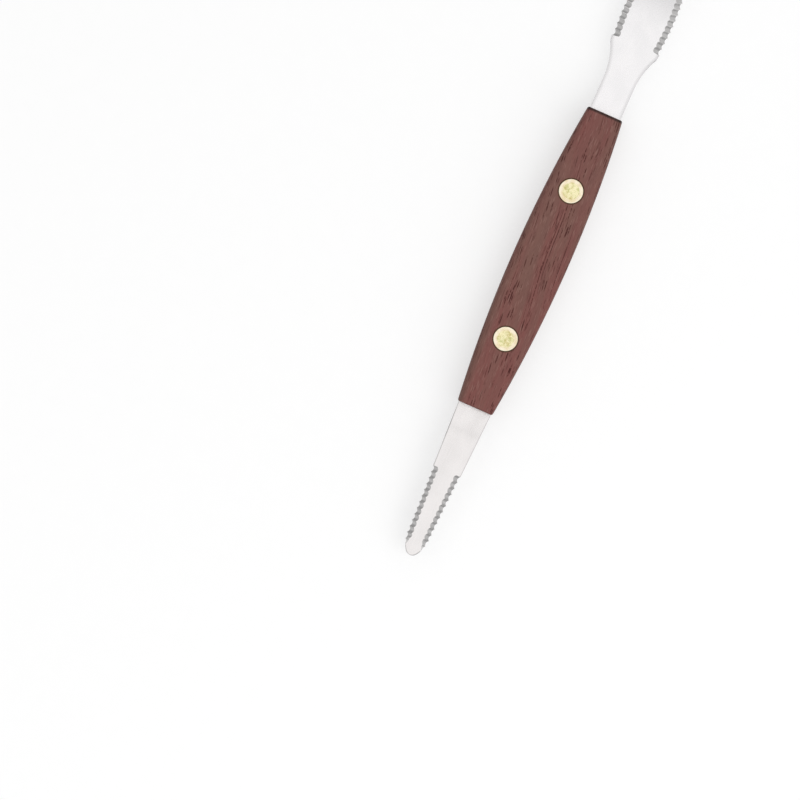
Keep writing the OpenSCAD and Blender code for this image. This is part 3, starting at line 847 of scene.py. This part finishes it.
def lay_floor():
    """Pale paper just under the knife. Its glow brings it up to white, and the shadow stays on it."""
    gap, glow = 0.05, 0.565
    deselect()
    bpy.ops.mesh.primitive_plane_add(size=6, location=(0, 0, -gap * MM))
    floor = name_piece("floor")
    material, tree, surface = start_material("pale_paper")
    fibres = noise(tree, places_mm(tree), (0.2, 0.2, 0.2), 3, 0.6)
    paper = mix(tree, fibres, (0.47, 0.47, 0.47, 1), (0.49, 0.49, 0.49, 1))
    tree.links.new(paper, surface.inputs["Base Color"])
    surface.inputs["Roughness"].default_value = 0.9
    surface.inputs["Specular IOR Level"].default_value = 0.1
    surface.inputs["Emission Color"].default_value = (1, 1, 1, 1)
    tree.links.new(sums(tree, "MULTIPLY", rays(tree)[1], glow), surface.inputs["Emission Strength"])
    floor.data.materials.append(material)


# Soft boxes that metal reflects: the way to each, how near to it the light starts and is full,
# as cosines, and its level
SOFTBOXES = (
    ((0.13, -0.85, 0.50), 0.72, 0.93, 0.78),
    ((-0.30, 0.85, 0.40), 0.80, 0.96, 0.74),
    ((0.95, -0.10, 0.36), 0.82, 0.95, 0.86),
    ((-0.95, 0.15, 0.42), 0.82, 0.95, 0.86),
)


def light_scene():
    """A studio that lights the knife evenly from above, with soft boxes for metal to reflect."""
    world = bpy.data.worlds.new("studio")
    bpy.context.scene.world = world
    world.use_nodes = True
    tree = world.node_tree
    background = tree.nodes["Background"]
    direction = put(tree, "ShaderNodeTexCoord").outputs["Generated"]
    up = put(tree, "ShaderNodeSeparateXYZ", {0: direction}).outputs["Z"]
    # What metal reflects, what lights the knife, and what the camera sees behind it
    overhead = ramp(tree, up, 0.74, 0.92, 0.0, 0.30)
    shown = sums(tree, "ADD", ramp(tree, up, 0.25, 0.85, 0.38, 0.70), overhead)
    for towards, rim, middle, level in SOFTBOXES:
        way = Vector(towards).normalized()
        near = put(tree, "ShaderNodeVectorMath", {0: direction, 1: way}, operation="DOT_PRODUCT")
        box = ramp(tree, near.outputs["Value"], rim, middle, 0.0, level)
        shown = sums(tree, "MAXIMUM", shown, box)
    given = ramp(tree, up, 0.0, 1.0, 0.36, 0.82)
    behind = ramp(tree, up, 0.0, 0.3, 0.90, 1.0)
    straight, seen = rays(tree)
    strength = choose(tree, straight, choose(tree, seen, given, shown), behind)
    background.inputs["Color"].default_value = (1, 1, 1, 1)
    tree.links.new(strength, background.inputs["Strength"])

    deselect()
    place, size, watts = Vector((-0.45, -0.70, 0.85)), 1.5, 6.4
    bpy.ops.object.light_add(type="AREA", location=place)
    lamp = bpy.context.object
    lamp.name = lamp.data.name = "key"
    lamp.data.size, lamp.data.energy = size, watts
    lamp.rotation_euler = (-place).to_track_quat("-Z", "Y").to_euler()
    lamp.visible_glossy = False


def set_camera():
    """Looks straight down on the front scale, as in the photograph, from far off."""
    image, pixel = 800, 0.3168
    width, lens, sensor = image * pixel, 400, 36
    # The knife's way across the picture, and the pixel at the middle of its handle
    right, up = 0.40513, 0.91426
    handle_x, handle_y = 540.25, 260.75
    dx, dy = image / 2 - handle_x, handle_y - image / 2
    middle = ((right * dx + up * dy) * pixel, (-up * dx + right * dy) * pixel)
    bpy.ops.object.camera_add(
        location=(middle[0] * MM, middle[1] * MM, (THICKNESS + width * lens / sensor) * MM),
        rotation=(0, 0, -atan2(up, right)))
    camera = bpy.context.object
    camera.name = camera.data.name = "camera"
    camera.data.lens, camera.data.sensor_width = lens, sensor
    camera.data.clip_start, camera.data.clip_end = 0.05, 50
    bpy.context.scene.camera = camera


# The knife

def fit(piece, node, slot, *finishes):
    """Shades a piece, gives it its finishes and puts it in the place of its CAD node."""
    smooth(piece, SMOOTH[slot])
    if not piece.material_slots:
        piece.data.materials.append(None)
    for place, finish in zip(piece.material_slots, finishes):
        place.material = finish
    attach(piece, "root")
    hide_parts(node)


marks = satin_marks_group()
wood, brass = wood_material(), brass_material(marks)
gullet_steel = scored_material(marks, "ground_gullets", dark=(0.53, 0.52, 0.516, 1),
                               light=(0.74, 0.73, 0.725, 1), rough=0.36, smoother=0.24)
edge_steel = scored_material(marks, "sanded_edges", dark=(0.44, 0.43, 0.43, 1),
                             light=(0.62, 0.61, 0.61, 1), rough=0.46, smoother=0.36)
bent_steel = steel_material(marks, "satin_stainless", light=(0.930, 0.912, 0.918, 1),
                            dull=(0.905, 0.890, 0.896, 1))
# The twin blades' steel is a darker, warmer copy of the same satin stainless: painted shade
shaded_twin_steel = steel_material(marks, "satin_stainless_painted_shade", light=(0.880, 0.850, 0.842, 1),
                            dull=(0.845, 0.815, 0.808, 1))

front_scale = shape_front_scale()
back_scale = twin_of(front_scale, "back_handle_scale")
fit(front_scale, "front_scale", "wood", wood)
fit(back_scale, "back_scale", "wood", wood)

front_twin = shape_front_twin_blade()
back_twin = twin_of(front_twin, "back_twin_serrated_blade")
fit(shape_bent_blade(), "bent_blade", "steel", bent_steel, gullet_steel, edge_steel)
fit(front_twin, "front_twin_blade", "steel", shaded_twin_steel, gullet_steel, edge_steel)
fit(back_twin, "back_twin_blade", "steel", shaded_twin_steel, gullet_steel, edge_steel)

for kind, turned in (("rivet_stud", turn_stud("rivet_stud_bent_end_turned", RIVETS["bent_end"])),
                     ("rivet_sleeve", turn_sleeve("rivet_sleeve_bent_end_turned", RIVETS["bent_end"]))):
    copy = twin_of(turned, f"{kind}_twin_end_turned", RIVETS["twin_end"] - RIVETS["bent_end"])
    fit(turned, f"{kind}_bent_end", "brass", brass)
    fit(copy, f"{kind}_twin_end", "brass", brass)

lay_floor()
light_scene()
set_camera()
bpy.context.scene.view_settings.view_transform = "Standard"
